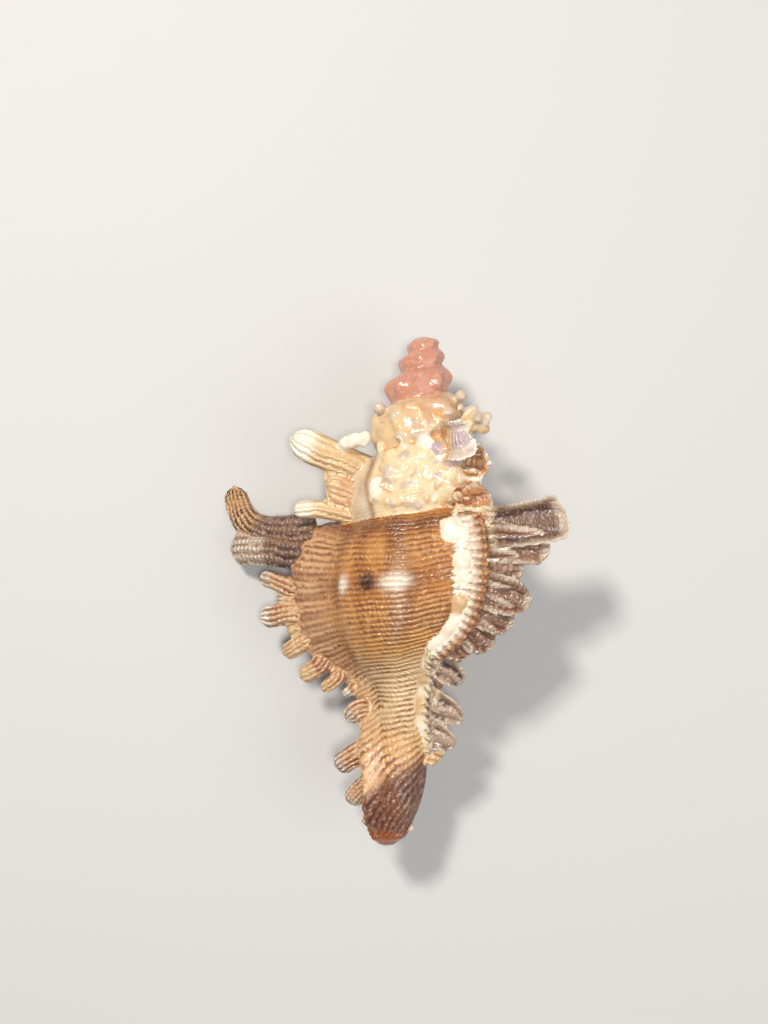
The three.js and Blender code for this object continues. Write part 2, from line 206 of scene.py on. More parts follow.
# at each step, how much the threads slant down away from the back varix, and how far apart they stand
# beside it
DROOP = np.array([0, 0, 0, 0, 0, 0, 0, 0, 0, 0.08, 0.28, 0.55, 0.7, 0.74])
OPEN = np.array([1, 1, 1, 1, 1, 1, 1, 1, 1.1, 0.9, 0.85, 1.1, 1.8, 2.4])
THREAD_AT_STEP = np.concatenate(
    [[0], np.cumsum(np.hypot(np.diff(PROFILE_R), np.diff(PROFILE_Y)) / OPEN[1:])]) / THREAD


SLANT_TURNS = 0.42  # how far round from the back varix the threads slant
CANAL_RADIUS = 1.45


def thread_at(turn, step):
    """The number of the spiral thread at a place."""
    away = np.clip(np.abs(turn - BACK_VARIX), 0, SLANT_TURNS) * 2 * np.pi * CANAL_RADIUS
    return np.interp(step, STEPS, THREAD_AT_STEP) - np.interp(step, STEPS, DROOP) * away / THREAD


# ---------------------------------------------------------------- colours
def paint(red, green, blue):
    """A colour from red, green and blue of 255, as linear light."""
    c = np.array([red, green, blue]) / 255
    return np.where(c > 0.04045, ((c + 0.055) / 1.055) ** 2.4, c / 12.92)


GOLD, TOBACCO, UMBER = paint(190, 124, 56), paint(124, 64, 24), paint(70, 32, 12)
CREAM, IVORY, CHALK = paint(216, 184, 138), paint(224, 200, 160), paint(234, 222, 202)
OCHRE, TAN, HONEY = paint(212, 160, 104), paint(184, 126, 76), paint(208, 150, 78)
PEACH, RUSSET, COCOA = paint(210, 166, 122), paint(138, 80, 46), paint(92, 56, 40)
PLUM, SMOKE, MIST = paint(66, 36, 30), paint(136, 98, 74), paint(200, 180, 158)
SALMON, ROSE, CLAY = paint(194, 136, 112), paint(164, 100, 76), paint(158, 84, 34)
LAVENDER = paint(186, 164, 162)


class Skin:
    """A closed surface with its paint: on the crests and in the grooves of its fine lines, and where those
    lines run. lines holds the number of the line, millimetres along it, and how deep the lines are. beads
    is how far the crests break up into beads. Skins may overlap, and are fused afterwards."""

    def __init__(self, points, faces, crest, groove, lines, beads=0.4):
        count = len(points)
        self.points = np.asarray(points, float)
        self.faces = faces
        self.crest = np.broadcast_to(crest, (count, 3))
        self.groove = np.broadcast_to(groove, (count, 3))
        self.lines = np.broadcast_to(lines, (count, 3))
        self.beads = np.broadcast_to(np.reshape(beads, (-1, 1)), (count, 1))


def lattice_faces(rows, columns, closed):
    faces = []
    for row in range(rows - 1):
        for column in range(columns if closed else columns - 1):
            after = (column + 1) % columns
            faces.append((
                row * columns + column, row * columns + after,
                (row + 1) * columns + after, (row + 1) * columns + column,
            ))
    return faces


def tube(rings):
    """Points and faces of a closed tube through rings of points, with a point at each end."""
    count, sides = rings.shape[:2]
    points = np.concatenate([rings.reshape(-1, 3), rings[0].mean(0)[None], rings[-1].mean(0)[None]])
    faces = lattice_faces(count, sides, True)
    for side in range(sides):
        after = (side + 1) % sides
        faces.append((len(points) - 2, after, side))
        faces.append((len(points) - 1, (count - 1) * sides + side, (count - 1) * sides + after))
    return points, faces


def on_tube(values):
    """Values on the rings of a tube, with those of its two end points after them."""
    flat = values.reshape(-1, values.shape[-1])
    return np.concatenate([flat, values[0].mean(0)[None], values[-1].mean(0)[None]])


# ---------------------------------------------------------------- the whorls
KNOB_STEP = 3.3  # where the pale knobs sit on the ribs
KNOB_HALF_WIDTHS = (0.012, 0.026)  # in turns, one for each rib
DARK_SPOT = (-0.182, 3.25)  # turn and step
PALE_STREAK = -0.245
DARK_GAPS = (2.9, 3.6, 4.2, 4.55, 5.0, 5.6, 6.2)  # steps of the gaps between the lip's finger-like ribs
KNOB_Y = 5.72  # of the pale knob on the whorl above, for the painted shade line in the crease beside it
LAST_WHORL, DULL_WHORLS, ROSY_WHORL, PINK_WHORLS = -1.02, -1.85, -2.33, -2.85


def whorl_paint(turn, step, points):
    """Crest colour, groove colour and line depth over the whorls."""
    y = points[..., 1]
    last = smooth((turn - LAST_WHORL) / 0.06)
    crest = np.broadcast_to(GOLD, points.shape)
    groove = np.broadcast_to(TOBACCO, points.shape)
    # the barrel: a dark band under the suture, honey below it, and brown growth streaks
    crest = blend(crest, HONEY, 0.6 * hump((step - 2.2) / 0.5))
    streaks = waves(np.stack([turn * 26, step * 0.25, 0 * turn], axis=-1).reshape(-1, 3), 5, 1.9)
    streaks = smooth(streaks.reshape(turn.shape) * 0.8)
    crest = blend(crest, TOBACCO, 0.7 * streaks)
    groove = blend(groove, UMBER, 0.6 * streaks)
    pale = hump((turn - PALE_STREAK) / 0.018) * smooth(step - 2)
    crest = blend(crest, PEACH, 0.6 * pale)
    amber = smooth((step - 3.7) / 0.8) * (1 - streaks)
    crest = blend(crest, HONEY, 0.8 * amber)
    band = hump((step - 1.15) / 0.55) + 0.6 * hump((step - KNOB_STEP) / 0.28)
    band = band + 0.3 * hump((step - 4.9) / 0.35)
    crest = blend(crest, TOBACCO, np.clip(0.85 * band, 0, 1))
    groove = blend(groove, UMBER, np.clip(0.9 * band, 0, 1))
    # pale knobs on the ribs, and the dark spot between them
    for rib, wide in zip(RIBS, KNOB_HALF_WIDTHS):
        pale = smooth(1.6 * hump((step - KNOB_STEP) / 0.28) * hump((turn - rib) / wide))
        crest = blend(crest, CHALK, 0.95 * pale)
        groove = blend(groove, CREAM, 0.8 * pale)
    spot = smooth(1.5 * hump((step - DARK_SPOT[1]) / 0.34) * hump((turn - DARK_SPOT[0]) / 0.014))
    crest = blend(crest, UMBER, spot)
    groove = blend(groove, UMBER, spot)
    # the base and the canal
    base = smooth((step - 5.7) / 1.4)
    crest = blend(crest, CREAM, base)
    groove = blend(groove, RUSSET, 0.7 * base)
    low = smooth((step - 9.0) / 1.2)
    crest = blend(crest, OCHRE, 0.8 * low)
    groove = blend(groove, TOBACCO, low)
    fan = smooth((step - 10.1 - 2.6 * np.abs(turn - BACK_VARIX)) / 0.5)
    crest = blend(crest, blend(COCOA, RUSSET, 0.6), fan)
    groove = blend(groove, PLUM, fan)
    end = smooth((-13 - y) / 0.3)
    crest = blend(crest, CLAY, end)
    groove = blend(groove, TOBACCO, end)
    # the tan lip
    lip = smooth((turn - FLARE_START) / 0.06) * smooth(step - 1.2) * (1 - fan)
    crest = blend(crest, PEACH, 0.8 * lip)
    groove = blend(groove, RUSSET, lip)
    for gap in DARK_GAPS:
        crest = blend(crest, TOBACCO, 0.8 * lip * hump((step - gap) / 0.1))
    # the spire: ivory, then grey-tan, then salmon
    older = 1 - last
    crest = blend(crest, IVORY, older)
    groove = blend(groove, blend(OCHRE, TAN, smooth(step - 3.4)), older)
    suture = older * smooth((0.7 - step) / 0.4)
    crest = blend(crest, HONEY, suture)
    # painted shade: a dark line in the crease beside the pale knob of the whorl above, and a grey stretch
    # left of it
    x = points[..., 0]
    shade_line_x = 0.3 * np.abs(y - KNOB_Y) - 2.89
    shown = older * smooth((points[..., 2] - 0.3) / 0.5) * (turn > -2)
    crest = blend(crest, MIST, 0.55 * shown * smooth((shade_line_x - x) / 0.3))
    crest = blend(crest, TOBACCO, 0.75 * shown * hump((x - shade_line_x) / 0.15))
    dull = 1 - smooth((turn - DULL_WHORLS) / 0.2)
    crest = blend(crest, CREAM, dull * 0.9)
    groove = blend(groove, TAN, dull)
    rosy = dull * hump((turn - ROSY_WHORL) / 0.12)
    crest = blend(crest, SALMON, 0.6 * rosy)
    pink = 1 - smooth((turn - PINK_WHORLS) / 0.2)
    crest = blend(crest, SALMON, pink)
    groove = blend(groove, ROSE, pink)
    depth = blend(0.14, 0.8, last)
    return crest, groove, depth


def whorls():
    rows_per_turn, per_step = 150, 8
    skins = []
    for first, end, last_step in ((-TURNS, -1, SUTURE_STEP), (-1, 0, LAST_STEP)):
        rows = (end - first) * rows_per_turn + 1
        columns = last_step * per_step + 1
        turn, step = np.meshgrid(
            np.linspace(first, end, rows), np.linspace(0, last_step, columns), indexing="ij")
        points = surface(turn, step)
        lumps = waves(points.reshape(-1, 3), 11, 1.5).reshape(turn.shape)
        lumpy = blend(0.11 * smooth((turn + 4.5) / 1.5), 0.03, smooth((turn + 1.1) / 0.2))
        axis = place(0 * turn, 0 * turn, points[..., 1])
        swell = lumps * lumpy * np.sin(np.pi * np.clip(step / SUTURE_STEP, 0, 1))
        points = points + unit(points - axis) * swell[..., None]
        if end == -1:
            # a whorl's lower edge is the suture of the whorl after it
            points[:, -1] = surface(turn[:, 0] + 1, 0)
        r, _ = outline(turn, step)
        crest, groove, depth = whorl_paint(turn, step, points)
        lines = np.stack([thread_at(turn, step), turn * CIRCLE * r, depth], axis=-1)
        skins.append((points, crest, groove, lines))
    spire, body = skins
    points = [spire[0].reshape(-1, 3), body[0].reshape(-1, 3)]
    faces = lattice_faces(*spire[0].shape[:2], False)
    start = len(points[0])
    body_rows, body_columns = body[0].shape[:2]
    faces += [tuple(start + i for i in face) for face in lattice_faces(body_rows, body_columns, False)]
    apex = start + len(points[1])
    spire_columns = spire[0].shape[1]
    for row in range(rows_per_turn):
        faces.append((apex, row * spire_columns, (row + 1) * spire_columns))
    for column in range(spire_columns - 1):
        faces.append((apex, column + 1, column))
    for row in range(body_rows - 1):
        here = start + (row + 1) * body_columns - 1
        faces.append((here, apex + 1, here + body_columns))
    # the face of the lip: a strip from the last row across to the same whorl's start, by way of a middle line
    suture = SUTURE_STEP * per_step
    last_row = start + (body_rows - 1) * body_columns
    inner = np.maximum(np.arange(body_columns), suture)
    middle = 0.35 * body[0][-1] + 0.65 * body[0][0][inner]
    first_middle = apex + 2
    for c in range(body_columns - 1):
        faces.append((last_row + c, first_middle + c, first_middle + c + 1, last_row + c + 1))
        if inner[c + 1] > inner[c]:
            faces.append((first_middle + c, start + inner[c], start + inner[c + 1], first_middle + c + 1))
        else:
            faces.append((first_middle + c, start + inner[c], first_middle + c + 1))
    end_of_middle = first_middle + body_columns - 1
    faces.append((last_row + body_columns - 1, end_of_middle, apex + 1))
    faces.append((end_of_middle, start + body_columns - 1, apex + 1))
    points += [[[0, APEX, 0]], [place(0, 0, CANAL_END)], middle]
    face = [CREAM] * body_columns
    ends = {1: [SALMON, CLAY] + face, 2: [ROSE, CLAY] + face, 3: np.zeros((body_columns + 2, 3))}
    crest, groove, lines = (
        np.concatenate([spire[k].reshape(-1, 3), body[k].reshape(-1, 3), ends[k]]) for k in (1, 2, 3))
    beads = np.concatenate([
        np.full(len(points[0]), 0.15), np.full(len(points[1]), 0.45), np.zeros(body_columns + 2)])
    return Skin(np.concatenate(points), faces, crest, groove, lines, beads)


# ---------------------------------------------------------------- fronds
def frond(turn, step, tip, bend, width, depth, flare=1.0, curl=0.3, ridges=4, lobe=0.1, blunt=0.9, fold=0.07,
          hollow=None, foot=(OCHRE, TOBACCO), end=(OCHRE, TOBACCO), turns_at=0.8, rim=None, beads=0.6):
    """A folded finger or petal that grows from a varix, bent towards bend on its way to tip. flare is its
    width at the tip over that at the foot, curl how far its edges fold towards its hollow side, ridges the
    number of lines down it, fold how high those stand, lobe how far they stick out at the end, blunt where
    its end starts to round off, foot and end its crest and groove colours, turns_at where the one pair
    gives way to the other, and rim the colour of its edges."""
    rings, sides = 34, 36
    angle = angle_at(turn, step)
    outwards = np.array([np.cos(angle), 0, np.sin(angle)])
    backwards = np.array([np.sin(angle), 0, -np.cos(angle)])
    if hollow is not None:
        backwards = -unit(np.array(hollow, float))
    root = surface(turn, step) - ROOT_DEPTH * outwards
    tip, bend = np.array(tip, float), np.array(bend, float)
    t = np.linspace(0, 1, rings)[:, None]
    centre = (1 - t) ** 2 * root + 2 * t * (1 - t) * bend + t ** 2 * tip
    along = unit(2 * (1 - t) * (bend - root) + 2 * t * (tip - bend))
    back = unit(backwards - (along @ backwards)[:, None] * along)
    side = np.cross(along, back)
    length = np.linalg.norm(np.diff(centre, axis=0), axis=1).sum()
    a = np.linspace(0, 2 * np.pi, sides, endpoint=False)
    s, k = np.cos(a)[None], np.sin(a)[None]
    rounding = np.sqrt(np.clip(1 - np.clip((t - blunt) / (1 - blunt), 0, 1) ** 2, 0.03, 1))
    half = 0.5 * width * blend(1.1, flare, smooth(t * 1.1)) * rounding
    thick = 0.5 * depth * (1.15 - 0.4 * t) * np.sqrt(rounding)
    phase = ridges * s / 2
    crests = 0.5 + 0.5 * np.cos(2 * np.pi * phase)
    beading = 0.03 * beads * np.cos(2 * np.pi * t * length / BEAD) * crests
    height = thick * k * (1 - 0.3 * s ** 2) + (fold * (crests - 0.5) + beading) * k
    height = height + curl * half * (0.5 - s ** 2)
    reach = lobe * width * (crests - 0.5) * smooth((t - 0.6) / 0.4)
    points = (centre[:, None] + side[:, None] * (half * s)[..., None] + back[:, None] * height[..., None]
              + along[:, None] * reach[..., None])
    points, faces = tube(points)
    fade = smooth((t - turns_at) / 0.15) + 0 * s
    crest, groove = blend(foot[0], end[0], fade), blend(foot[1], end[1], fade)
    if rim is not None:
        edge = np.maximum(smooth((np.abs(s) - 0.66) / 0.25), smooth((t - 0.86) / 0.1))
        edge = edge * smooth((t - 0.3) / 0.3)
        crest = blend(crest, rim, edge)
        groove = blend(groove, rim, 0.8 * edge)
    lines = np.stack([phase + 0 * t, t * length + 0 * s, 1 + 0 * s * t], axis=-1)
    return Skin(points, faces, on_tube(crest), on_tube(groove), on_tube(lines), beads)


def lip_fronds():
    down = (0, 0, -1)
    # the two upper lip fronds in smoke and plum: partly their own darker colour, partly painted shade, as
    # they droop away from the light
    dark = dict(foot=(SMOKE, PLUM), end=(OCHRE, PLUM), turns_at=0.45, beads=1.0, hollow=down)
    warm = dict(foot=(PEACH, RUSSET), end=(MIST, SMOKE), turns_at=0.72, hollow=down)
    low = dict(foot=(PEACH, RUSSET), end=(CREAM, TAN), turns_at=0.6, hollow=down)
    canal = dict(foot=(PEACH, RUSSET), end=(MIST, SMOKE), turns_at=0.7, hollow=down, curl=0.2)
    rows = [
        (1.9, (-10.5, 5.25, -4.8), (-9.9, 1.75, -3.0), 2.7, 0.7, dict(dark, ridges=6, flare=0.55)),
        (2.4, (-10.35, 1.75, -3.5), (-8.4, 2.0, -1.9), 1.9, 0.6, dict(dark, ridges=4, end=(MIST, SMOKE))),
        (3.4, (-8.6, 0.35, -1.9), (-6.8, -0.1, -0.9), 1.05, 0.55, dict(warm, ridges=3)),
        (3.8, (-7.6, -0.8, -1.6), (-6.3, -0.9, -0.9), 0.8, 0.5, dict(warm, ridges=2)),
        (4.0, (-8.45, -2.0, -1.7), (-6.6, -1.5, -0.7), 1.3, 0.6, dict(warm, ridges=4, end=(CHALK, SMOKE))),
        (4.4, (-6.9, -2.65, -1.4), (-5.7, -2.2, -0.8), 0.8, 0.5, dict(low, ridges=2)),
        (4.7, (-7.05, -3.9, -1.4), (-5.5, -2.9, -0.6), 1.1, 0.55, dict(low, ridges=4)),
        (5.3, (-6.05, -5.15, -1.3), (-4.5, -4.2, -0.5), 1.1, 0.5, dict(low, ridges=4)),
        (5.9, (-4.85, -5.75, -1.1), (-3.6, -4.9, -0.4), 0.85, 0.45, dict(low, ridges=3)),
        (6.6, (-3.6, -6.0, -0.9), (-3.0, -5.4, -0.3), 0.6, 0.4, dict(low, ridges=2, end=(CHALK, MIST))),
        (8.4, (-3.2, -7.15, 0.0), (-2.6, -6.3, 0.2), 1.2, 0.5, dict(canal, ridges=4, lobe=0.35)),
        (9.7, (-3.8, -9.9, 0.0), (-2.7, -9.0, 0.2), 1.3, 0.55, dict(canal, ridges=5)),
        (10.8, (-3.0, -11.8, 0.0), (-2.4, -10.9, 0.2), 1.2, 0.5, dict(canal, ridges=5)),
        (11.9, (-1.95, -13.0, 0.0), (-1.8, -12.4, 0.2), 0.9, 0.45, dict(canal, ridges=3, end=(MIST, PLUM))),
    ]
    return [frond(LIP, step, tip, bend, w, d, **more) for step, tip, bend, w, d, more in rows]


def back_fronds():
    look = dict(foot=(IVORY, TOBACCO), end=(SMOKE, COCOA), turns_at=0.25, rim=MIST, curl=0.5, flare=1.25,
                blunt=0.6, hollow=(-0.25, 0, 1), ridges=3, beads=0.6)
    petal = dict(look, blunt=0.45, flare=1.1, foot=(IVORY, CREAM), end=(blend(SMOKE, MIST, 0.4), PLUM),
                 ridges=2, beads=0.3)
    glassy = dict(look, foot=(IVORY, PLUM), end=(blend(SMOKE, PLUM, 0.4), PLUM), blunt=0.88, flare=1.3,
                  ridges=2)
    rows = [
        (0.8, (3.9, 5.2, 3.2), (3.0, 4.9, 3.6), 2.0, 0.5, dict(look, end=(TAN, TOBACCO))),
        (1.7, (7.75, 4.55, 3.9), (5.4, 3.6, 3.7), 2.0, 0.45, glassy),
        (2.2, (7.0, 2.6, 3.6), (5.0, 2.9, 3.5), 2.0, 0.5,
         dict(look, end=(SMOKE, PLUM), blunt=0.85, flare=1.0)),
        (2.8, (5.75, 1.45, 3.3), (4.2, 1.6, 3.8), 1.7, 0.45, look),
        (3.4, (6.2, -0.15, 3.3), (4.2, 0.1, 3.9), 1.9, 0.5, look),
        (4.1, (5.35, -1.35, 3.1), (3.9, -1.0, 3.7), 1.7, 0.45, look),
        (4.8, (4.3, -2.65, 2.9), (3.4, -2.2, 3.4), 1.6, 0.45, look),
        (5.4, (2.95, -3.35, 2.9), (2.3, -2.9, 3.3), 1.3, 0.4, look),
        (6.4, (2.85, -4.7, 2.0), (2.0, -4.2, 2.6), 1.4, 0.4, petal),
        (8.2, (2.95, -6.9, 0.9), (1.9, -6.3, 1.4), 1.5, 0.45, petal),
        (9.5, (2.55, -8.35, 0.8), (1.9, -7.9, 1.1), 1.4, 0.45, petal),
        (10.3, (1.9, -9.15, 0.7), (1.5, -8.8, 0.9), 1.0, 0.4, dict(look, end=(CREAM, TAN))),
    ]
    return [frond(BACK_VARIX, step, tip, bend, w, d, **more) for step, tip, bend, w, d, more in rows]


def front_fronds():
    look = dict(foot=(CREAM, TAN), end=(OCHRE, TOBACCO), turns_at=0.4)
    rows = [
        (1.4, (1.9, 3.5, -5.1), (2.0, 3.5, -4.2), 1.9, 0.8),
        (2.8, (0.8, 1.4, -4.5), (1.5, 1.3, -4.3), 1.2, 0.6),
        (4.2, (0.7, -0.9, -4.5), (1.4, -0.8, -4.2), 1.3, 0.6),
        (5.4, (1.0, -3.0, -4.5), (1.5, -2.6, -3.9), 1.2, 0.6),
        (6.6, (2.0, -5.4, -5.0), (1.7, -4.6, -3.6), 1.5, 0.75),
        (8.4, (1.4, -7.6, -2.7), (1.0, -6.9, -2.0), 1.0, 0.45),
        (10.0, (0.8, -9.4, -2.4), (0.5, -8.9, -1.9), 0.9, 0.4),
    ]
    return [frond(FRONT_VARIX, step, tip, bend, w, d, **look) for step, tip, bend, w, d in rows]


def spire_fronds():
    faint = blend(CREAM, TAN, 0.5)
    pale = dict(foot=(CREAM, faint), end=(CHALK, IVORY), turns_at=0.6, hollow=(0, 0, -1), curl=0.1,
                beads=0.2, fold=0.03)
    striped = dict(pale, foot=(PEACH, TAN), end=(CREAM, TAN), ridges=7, lobe=0.22, fold=0.05)
    glassy = dict(foot=(CREAM, TAN), end=(LAVENDER, MIST), turns_at=0.35, curl=0.5, hollow=(-0.2, 0, 1),
                  blunt=0.6, flare=1.2, rim=CHALK)
    brown = dict(glassy, ridges=3, end=(TAN, TOBACCO))
    rows = [
        (-1.03, 1.9, (-7.05, 8.1, 0.6), (-5.2, 7.3, 0.7), 1.6, 1.0,
         dict(pale, ridges=5, flare=1.2, blunt=0.75)),
        (-1.03, 3.2, (-4.9, 5.6, 0.3), (-4.4, 5.7, 0.3), 2.6, 0.9, striped),
        (-1.03, 4.3, (-6.75, 4.1, 0.2), (-5.4, 4.5, 0.4), 1.0, 0.7, dict(pale, ridges=3)),
        (-1.37, 0.9, (2.7, 8.5, 3.5), (1.6, 8.0, 4.3), 1.9, 0.5, dict(glassy, ridges=2, blunt=0.75)),
        (-1.37, 2.0, (3.7, 7.35, 2.7), (2.8, 7.0, 3.1), 1.8, 0.6, brown),
        (-1.37, 3.3, (3.3, 5.9, 2.8), (2.6, 6.0, 3.2), 1.5, 0.6, brown),
        (-1.7, 2.2, (2.0, 7.0, -3.6), (1.9, 7.0, -3.2), 1.6, 0.8, dict(pale, ridges=4, hollow=(-1, 0, 0))),
    ]
    return [frond(turn, step, tip, bend, w, d, **more) for turn, step, tip, bend, w, d, more in rows]


def web(turn, start, end, reach, thickness, angle, tilts, near, far):
    """A thin ribbed sheet along a varix that the fronds stand on. reach and tilts give how far it reaches
    and how many degrees it tilts up the axis, at evenly spaced places down the varix. angle is the way it
    points round the axis, and near and far are its crest and groove colours at the foot and at the edge."""
    rings, sides = 260, 30
    t = np.linspace(0.003, 0.997, rings)
    places_down = np.linspace(0, 1, len(tilts))
    tilt = np.radians(np.interp(t, places_down, tilts))
    foot = surface(turn, start + (end - start) * t)
    angle = math.radians(angle)
    out = np.stack([np.cos(tilt) * math.cos(angle), np.sin(tilt), np.cos(tilt) * math.sin(angle)], axis=-1)
    through = np.array([-math.sin(angle), 0, math.cos(angle)])
    wide = np.interp(t, np.linspace(0, 1, len(reach)), reach)
    tips = foot + out * wide[:, None]
    line = np.concatenate([[0], np.cumsum(np.linalg.norm(np.diff(tips, axis=0), axis=1))]) / WEB_RIB
    ribs = 0.5 + 0.5 * np.cos(2 * np.pi * line)
    wide = wide * np.clip(np.sin(np.pi * t) * 8, 0, 1) * (0.94 + 0.12 * ribs)
    a = np.linspace(0, 2 * np.pi, sides, endpoint=False)
    across = 0.25 + 0.75 * np.cos(a)
    beading = 0.03 * np.cos(2 * np.pi * wide[:, None] * across / BEAD) * ribs[:, None]
    rise = np.sin(a)[None] * (thickness / 2 + 0.1 * (ribs - 0.5)[:, None] + beading)
    far_out = wide[:, None] * across
    points = foot[:, None] + out[:, None] * far_out[..., None] + through * rise[..., None]
    lines = np.stack([line[:, None] + 0 * across, far_out, 1 + 0 * rise], axis=-1)
    fade = smooth((across[None] - 0.3) / 0.5) + 0 * rise
    crest, groove = blend(near[0], far[0], fade), blend(near[1], far[1], fade)
    points, faces = tube(points)
    return Skin(points, faces, on_tube(crest), on_tube(groove), on_tube(lines), 0.7)


def webs():
    return [
        web(BACK_VARIX, 1.0, 6.6, (1.1, 1.4, 1.3, 1.1, 0.8), 0.4, -4,
            (25, 8, -4, -22, -40), (CHALK, PEACH), (TAN, COCOA)),
        web(BACK_VARIX, 6.2, 10.4, (0.5, 0.5, 0.5, 0.3), 0.35, 10, (-30, -25, -20, -30),
            (IVORY, PEACH), (MIST, COCOA)),
    ]


def varix_ridge():
    """The thick, white, uneven ridge that the back varix's fronds grow from."""
    rings, sides = 150, 20
    t = np.linspace(0, 1, rings)
    step = 0.9 + 9.3 * t
    line = surface(BACK_VARIX, step)
    angle = angle_at(BACK_VARIX, step)
    outwards = np.stack([np.cos(angle), 0 * angle, np.sin(angle)], axis=-1)
    along = unit(np.gradient(line, axis=0))
    side = np.cross(along, outwards)
    size = np.interp(t, (0, 0.1, 0.5, 0.7, 1), (0.22, 0.42, 0.36, 0.3, 0.2))
    size = size * (1 + 0.3 * waves(line, 21, 1.2))
    a = np.linspace(0, 2 * np.pi, sides, endpoint=False)
    points = (line - 0.12 * outwards)[:, None] + size[:, None, None] * (
        side[:, None] * np.cos(a)[None, :, None] + outwards[:, None] * np.sin(a)[None, :, None])
    points, faces = tube(points)
    tint = np.concatenate([np.repeat(smooth(0.5 + waves(line, 22, 2.0)), sides), [0, 0]])
    ribs = np.concatenate([np.repeat(22 * t, sides), [0, 22]])
    lines = np.stack([ribs, 0 * ribs, 0.18 + 0 * ribs], axis=-1)
    return Skin(points, faces, blend(blend(CREAM, TAN, 0.35), CHALK, tint), CREAM, lines, 0.2)


# points over the back of the spire and of the last whorl
BACK_CLOUD = np.concatenate([
    surface(*np.meshgrid(np.linspace(-3, -1, 300), np.linspace(0, 5, 60))).reshape(-1, 3),
    surface(*np.meshgrid(np.linspace(-0.5, -0.05, 120), np.linspace(0, 9, 100))).reshape(-1, 3),
])


def bead(centre, radius, colour, lumps=0.0, seed=1, stretch=(1, 1, 1)):
    """A round bead, or a crumbly lump, grown onto the shell."""
    rings, sides = 16, 22
    lat, lon = np.meshgrid(
        np.linspace(0.06, np.pi - 0.06, rings), np.linspace(0, 2 * np.pi, sides, endpoint=False),
        indexing="ij")
    way = np.stack([np.sin(lat) * np.cos(lon), np.sin(lat) * np.sin(lon), np.cos(lat)], axis=-1)
    size = 1 + lumps * waves(way.reshape(-1, 3), seed, 1.1).reshape(lat.shape)
    points, faces = tube(np.asarray(centre) + radius * way * np.array(stretch) * size[..., None])
    return Skin(points, faces, colour, colour * 0.85, np.zeros(3), 0.0)


def on_back(x, y, sink=0.0):
    """The highest point of the whorls near a place, for what is grown onto their back."""
    near = np.hypot(BACK_CLOUD[:, 0] - x, BACK_CLOUD[:, 1] - y) < 0.2
    height = BACK_CLOUD[near, 2].max() if near.any() else 1.0
    return np.array([x, y, height - sink])


def beads():
    """The beads and crumbly lumps: first those that are placed singly, then seeded patches of small ones,
    each patch within left, right, low and high."""
    rng = np.random.default_rng(8)
    grown = [
        bead((0.0, 13.42, 0.0), 0.58, SALMON),
        bead((-2.33, 9.92, 0.9), 0.36, MIST),
        bead((2.09, 10.77, 1.0), 0.34, MIST),
        bead((2.06, 10.1, 1.5), 0.22, MIST),
        bead((3.15, 9.45, 1.4), 0.52, MIST, 0.3, 3, (1, 0.9, 1)),
        bead((2.6, 9.25, 1.2), 0.55, CREAM, 0.3, 13),
        bead((2.75, 9.8, 1.1), 0.42, MIST, 0.3, 14),
        bead((3.4, 9.0, 1.3), 0.3, CREAM, 0.3, 15),
        bead((-3.6, 8.05, 1.2), 0.42, CHALK, 0.2, 4),
        bead((-3.1, 8.15, 1.4), 0.4, CHALK, 0.2, 5),
        bead((-4.1, 7.9, 1.0), 0.34, CHALK, 0.2, 6),
        bead(on_back(-2.25, 5.5, 0.12), 0.58, CHALK, 0.08, 7, (0.8, 1.1, 0.8)),
        bead(on_back(1.7, 3.4, 0.3), 0.62, CHALK, 0.08, 9, (0.9, 1.2, 0.9)),
        bead(on_back(0.25, 8.0, 0.15), 0.5, CHALK, 0.15, 31, (0.8, 1.2, 0.8)),
        bead(on_back(0.95, 7.75, 0.2), 0.4, LAVENDER, 0.2, 32),
        bead(on_back(1.6, 7.1, 0.2), 0.42, LAVENDER, 0.2, 33),
        bead((-0.9, -13.45, 0.0), 0.62, CLAY, 0.06, 10, (1.2, 1.0, 1)),
        bead((0.4, -13.0, 0.35), 0.22, MIST),
    ]
    for count, (left, right, low, high), colours, sizes in (
        (80, (-2.4, 2.3, 4.7, 7.9), (IVORY, CREAM, PEACH, IVORY, MIST), (0.14, 0.42)),
        (12, (0.6, 2.4, 6.2, 7.6), (LAVENDER, MIST), (0.2, 0.42)),
        (26, (-1.7, 1.9, 8.3, 10.2), (CREAM, CREAM, OCHRE, MIST), (0.14, 0.32)),
    ):
        for _ in range(count):
            x, y = rng.uniform(left, right), rng.uniform(low, high)
            radius = rng.uniform(*sizes)
            colour = colours[rng.integers(len(colours))]
            stretch = rng.uniform(0.7, 1.4, 3)
            centre = on_back(x, y, 0.78 * radius)
            grown.append(bead(centre, radius, colour, 0.22, int(rng.integers(99)), stretch))
    return grown


# ---------------------------------------------------------------- hollows
def mouth():
    t = np.linspace(0, 1, 26)[:, None]
    turn = MOUTH_START - t * MOUTH_TURNS
    g = np.minimum(turn, 0) * 1.2
    narrow = np.sqrt(1 - 0.9 * t ** 4)
    a = np.linspace(0, 2 * np.pi, 48, endpoint=False)[None]
    teeth = 0.03 * np.cos(14 * a) * smooth(1 - t * 8)
    across = narrow * (1 + 0.28 * np.sin(a)) * np.cos(a) * (1 + teeth)
    r = (MOUTH_RADIUS + MOUTH_HALF_WIDTH * across) * WIDER_PER_TURN ** g
    y = MOUTH_MIDDLE + MOUTH_HALF_HEIGHT * narrow * np.sin(a)
    points, faces = tube(place(
        r, angle_at(turn, 0), SPIRAL_TOP - (SPIRAL_TOP - y) * LONGER_PER_TURN ** (0.6 * g)))
    return Skin(points, faces, IVORY, CREAM, np.zeros(3))


